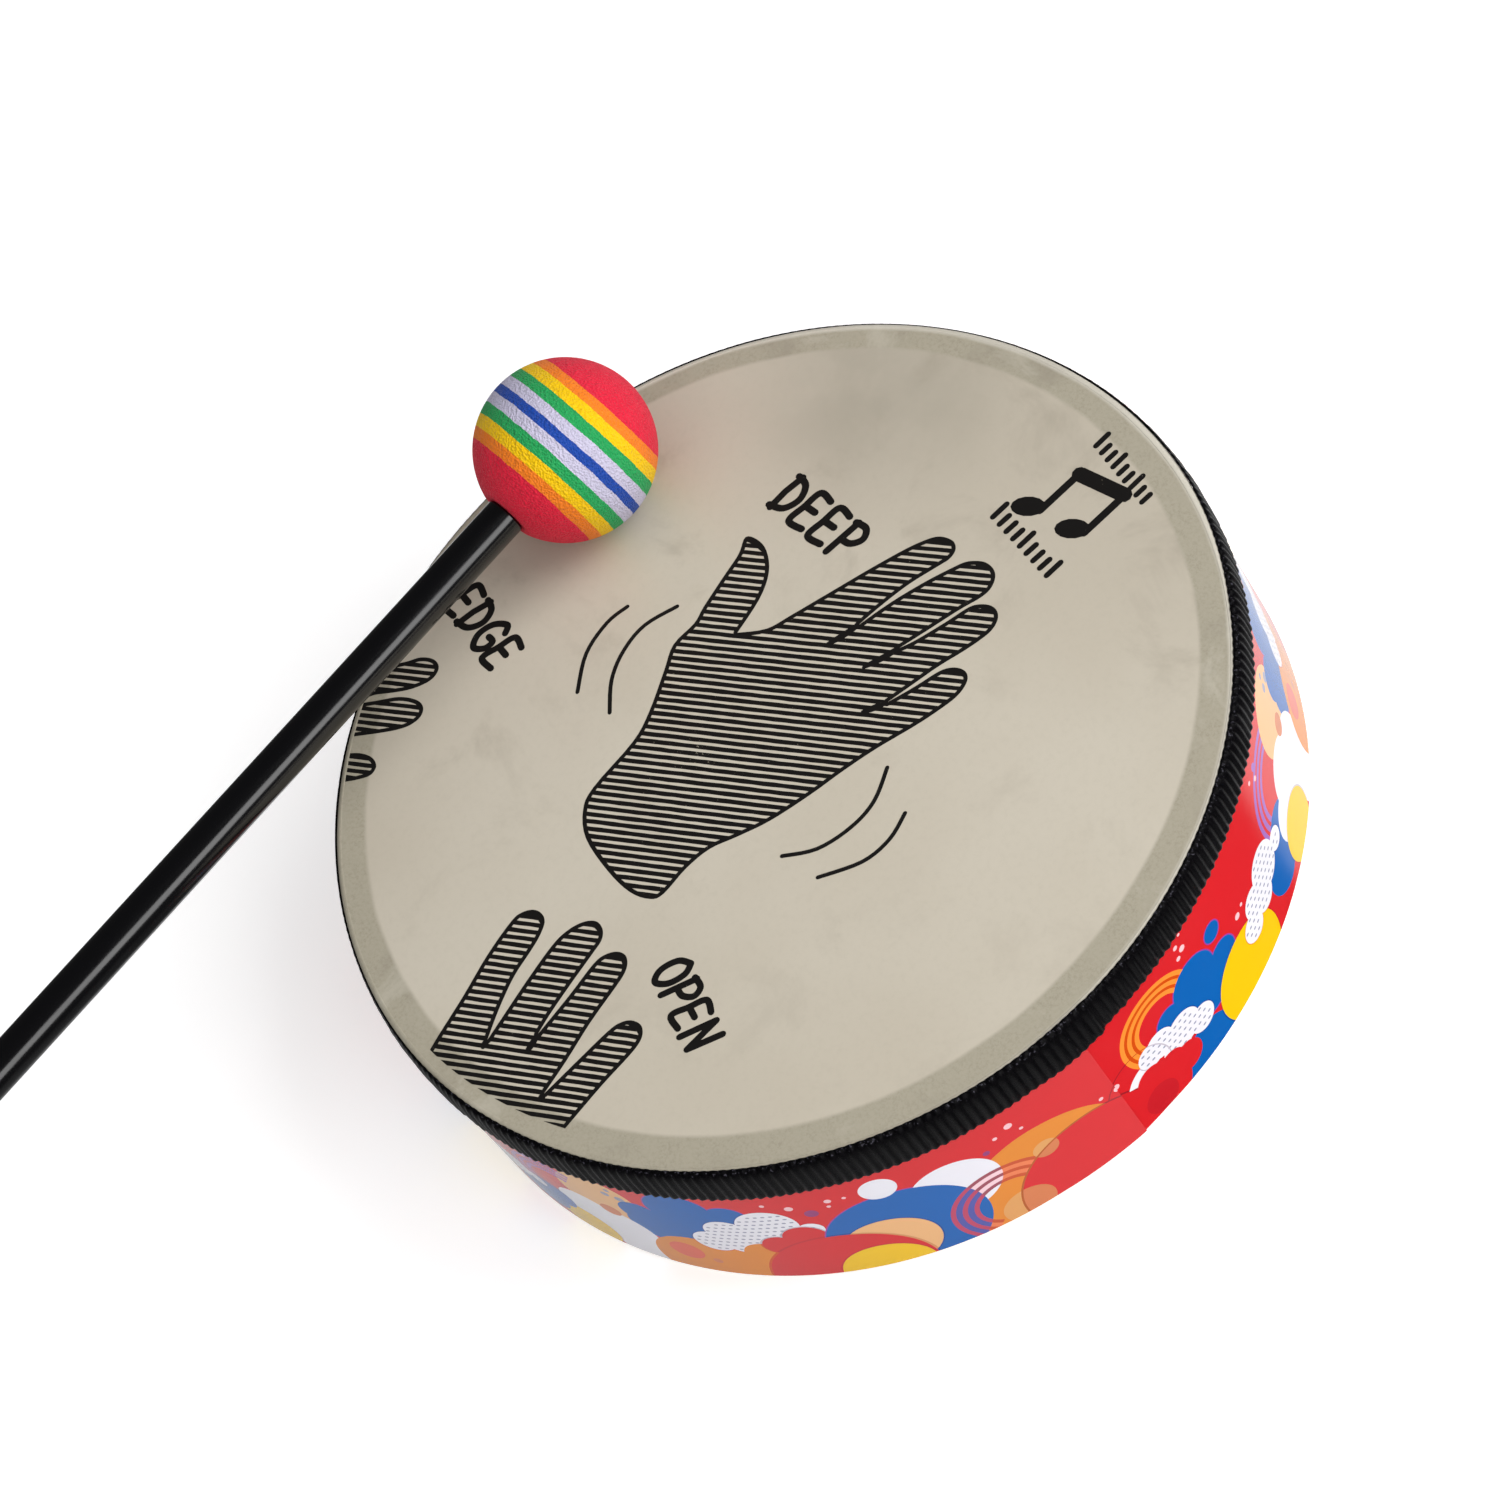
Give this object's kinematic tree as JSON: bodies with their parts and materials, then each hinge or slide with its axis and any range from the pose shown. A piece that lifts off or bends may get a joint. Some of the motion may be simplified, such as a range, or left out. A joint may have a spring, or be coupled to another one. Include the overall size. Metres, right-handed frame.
{
  "type": "frame drum",
  "caption": "Shallow round hand drum with a printed shell, a film head bound with ribbon, and a striped foam-ball beater resting on the head.",
  "frame": {"origin": "centre of the open rim, on the plane that the drum stands on", "axes": "+Z along the drum's axis, out of the head; +Y towards the top of the head's print, against the way the beater's handle points; +X to the right of the print, by the shell's seam"},
  "size_m": [0.2568, 0.3919, 0.1149],
  "materials": {
    "ply": "matte",
    "hoop_ply": "matte",
    "head_film": "satin",
    "staple_wire": "satin",
    "wrap_print": "gloss",
    "ribbon": "matte",
    "foam": "matte",
    "dowel_wood": "matte",
    "handle_plastic": "gloss",
    "cap_rubber": "satin"
  },
  "bodies": {
    "drum": {"outer_ply": "ply", "core_ply": "ply", "inner_ply": "ply", "bearing_hoop": "hoop_ply", "drum_head": "head_film", "head_staples": "staple_wire", "printed_wrap": "wrap_print", "edge_ribbon": "ribbon"},
    "beater": {"beater_ball": "foam", "beater_dowel": "dowel_wood", "beater_handle": "handle_plastic", "beater_end_cap": "cap_rubber"}
  },
  "joints": [
    {"name": "beater_lift", "type": "slide", "parent": "drum", "child": "beater", "axis": [0, 0, 1], "range_m": [0, 0.12]}
  ]
}
